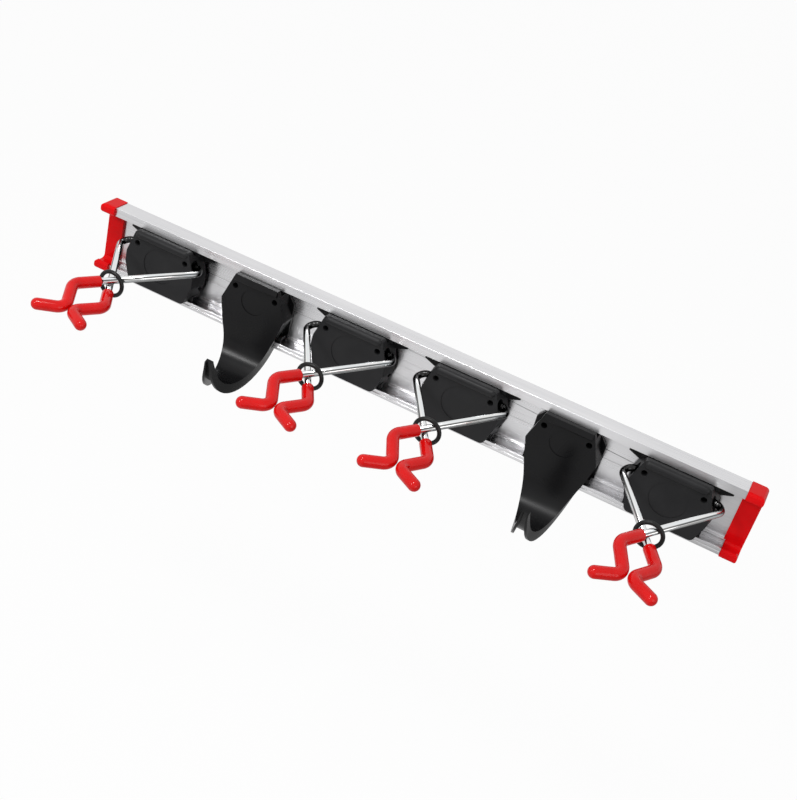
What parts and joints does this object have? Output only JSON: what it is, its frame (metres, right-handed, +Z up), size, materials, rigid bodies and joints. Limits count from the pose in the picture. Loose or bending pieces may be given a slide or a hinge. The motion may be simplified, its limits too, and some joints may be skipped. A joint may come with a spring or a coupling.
{
  "type": "tool hanger rail",
  "caption": "Aluminium C-section wall rail with red end caps, carrying sliding tool holders with crossed wire arms and soft grips, and black U-section hooks.",
  "frame": {"origin": "centre of the rail's back face, which lies on the wall", "axes": "+X along the rail to the right as seen from the front, +Z up, front towards -Y"},
  "size_m": [0.524, 0.1419, 0.0864],
  "materials": {
    "aluminium": "brushed, clear anodised extrusion",
    "red_plastic": "glossy moulded plastic",
    "black_plastic": "satin moulded plastic",
    "chromed_wire": "bright zinc or chrome plated steel wire",
    "red_grip": "soft glossy dipped coating",
    "black_rubber": "satin rubber"
  },
  "bodies": {
    "rail": {"rail": "aluminium", "end_cap_left": "red_plastic", "end_cap_right": "red_plastic"},
    "holder_1": {"slider_1": "black_plastic", "housing_1": "black_plastic"},
    "right_arm_1": {"wire_right_1": "chromed_wire", "grip_right_1": "red_grip"},
    "left_arm_1": {"wire_left_1": "chromed_wire", "grip_left_1": "red_grip"},
    "ring_1": {"ring_1": "black_rubber"},
    "holder_2": {"slider_2": "black_plastic", "housing_2": "black_plastic"},
    "right_arm_2": {"wire_right_2": "chromed_wire", "grip_right_2": "red_grip"},
    "left_arm_2": {"wire_left_2": "chromed_wire", "grip_left_2": "red_grip"},
    "ring_2": {"ring_2": "black_rubber"},
    "holder_3": {"slider_3": "black_plastic", "housing_3": "black_plastic"},
    "right_arm_3": {"wire_right_3": "chromed_wire", "grip_right_3": "red_grip"},
    "left_arm_3": {"wire_left_3": "chromed_wire", "grip_left_3": "red_grip"},
    "ring_3": {"ring_3": "black_rubber"},
    "holder_4": {"slider_4": "black_plastic", "housing_4": "black_plastic"},
    "right_arm_4": {"wire_right_4": "chromed_wire", "grip_right_4": "red_grip"},
    "left_arm_4": {"wire_left_4": "chromed_wire", "grip_left_4": "red_grip"},
    "ring_4": {"ring_4": "black_rubber"},
    "hook_1": {"hook_1": "black_plastic"},
    "hook_2": {"hook_2": "black_plastic"}
  },
  "joints": [
    {"name": "holder_1_slide", "type": "slide", "parent": "rail", "child": "holder_1", "axis": [1, 0, 0], "range_m": [-0.0055, 0.007]},
    {"name": "right_arm_1_swing", "type": "hinge", "parent": "holder_1", "child": "right_arm_1", "pos_m": [-0.1777, -0.0076, -0.012], "axis": [0, 0.3032, -0.9529], "range_deg": [0, 8]},
    {"name": "left_arm_1_swing", "type": "hinge", "parent": "holder_1", "child": "left_arm_1", "pos_m": [-0.2283, -0.0076, -0.012], "axis": [0, -0.3032, 0.9529], "range_deg": [0, 8]},
    {"name": "ring_1_slide", "type": "slide", "parent": "holder_1", "child": "ring_1", "axis": [0, 0.9946, 0.1033], "range_m": [0, 0.0156]},
    {"name": "holder_2_slide", "type": "slide", "parent": "rail", "child": "holder_2", "axis": [1, 0, 0], "range_m": [-0.007, 0.004]},
    {"name": "right_arm_2_swing", "type": "hinge", "parent": "holder_2", "child": "right_arm_2", "pos_m": [-0.0147, -0.0076, -0.012], "axis": [0, 0.3032, -0.9529], "range_deg": [0, 8]},
    {"name": "left_arm_2_swing", "type": "hinge", "parent": "holder_2", "child": "left_arm_2", "pos_m": [-0.0653, -0.0076, -0.012], "axis": [0, -0.3032, 0.9529], "range_deg": [0, 8]},
    {"name": "ring_2_slide", "type": "slide", "parent": "holder_2", "child": "ring_2", "axis": [0, 0.9946, 0.1033], "range_m": [0, 0.0156]},
    {"name": "holder_3_slide", "type": "slide", "parent": "rail", "child": "holder_3", "axis": [1, 0, 0], "range_m": [-0.004, 0.005]},
    {"name": "right_arm_3_swing", "type": "hinge", "parent": "holder_3", "child": "right_arm_3", "pos_m": [0.0743, -0.0076, -0.012], "axis": [0, 0.3032, -0.9529], "range_deg": [0, 8]},
    {"name": "left_arm_3_swing", "type": "hinge", "parent": "holder_3", "child": "left_arm_3", "pos_m": [0.0237, -0.0076, -0.012], "axis": [0, -0.3032, 0.9529], "range_deg": [0, 8]},
    {"name": "ring_3_slide", "type": "slide", "parent": "holder_3", "child": "ring_3", "axis": [0, 0.9946, 0.1033], "range_m": [0, 0.0156]},
    {"name": "holder_4_slide", "type": "slide", "parent": "rail", "child": "holder_4", "axis": [1, 0, 0], "range_m": [-0.0055, 0.0035]},
    {"name": "right_arm_4_swing", "type": "hinge", "parent": "holder_4", "child": "right_arm_4", "pos_m": [0.2308, -0.0076, -0.012], "axis": [0, 0.3032, -0.9529], "range_deg": [0, 8]},
    {"name": "left_arm_4_swing", "type": "hinge", "parent": "holder_4", "child": "left_arm_4", "pos_m": [0.1802, -0.0076, -0.012], "axis": [0, -0.3032, 0.9529], "range_deg": [0, 8]},
    {"name": "ring_4_slide", "type": "slide", "parent": "holder_4", "child": "ring_4", "axis": [0, 0.9946, 0.1033], "range_m": [0, 0.0156]},
    {"name": "hook_1_slide", "type": "slide", "parent": "rail", "child": "hook_1", "axis": [1, 0, 0], "range_m": [-0.007, 0.007]},
    {"name": "hook_2_slide", "type": "slide", "parent": "rail", "child": "hook_2", "axis": [1, 0, 0], "range_m": [-0.005, 0.0055]}
  ],
  "couplings": [
    {"joint": "left_arm_1_swing", "follows": "right_arm_1_swing", "ratio": 1},
    {"joint": "ring_1_slide", "follows": "right_arm_1_swing", "m_per_rad": 0.11089},
    {"joint": "left_arm_2_swing", "follows": "right_arm_2_swing", "ratio": 1},
    {"joint": "ring_2_slide", "follows": "right_arm_2_swing", "m_per_rad": 0.11089},
    {"joint": "left_arm_3_swing", "follows": "right_arm_3_swing", "ratio": 1},
    {"joint": "ring_3_slide", "follows": "right_arm_3_swing", "m_per_rad": 0.11089},
    {"joint": "left_arm_4_swing", "follows": "right_arm_4_swing", "ratio": 1},
    {"joint": "ring_4_slide", "follows": "right_arm_4_swing", "m_per_rad": 0.11089}
  ]
}
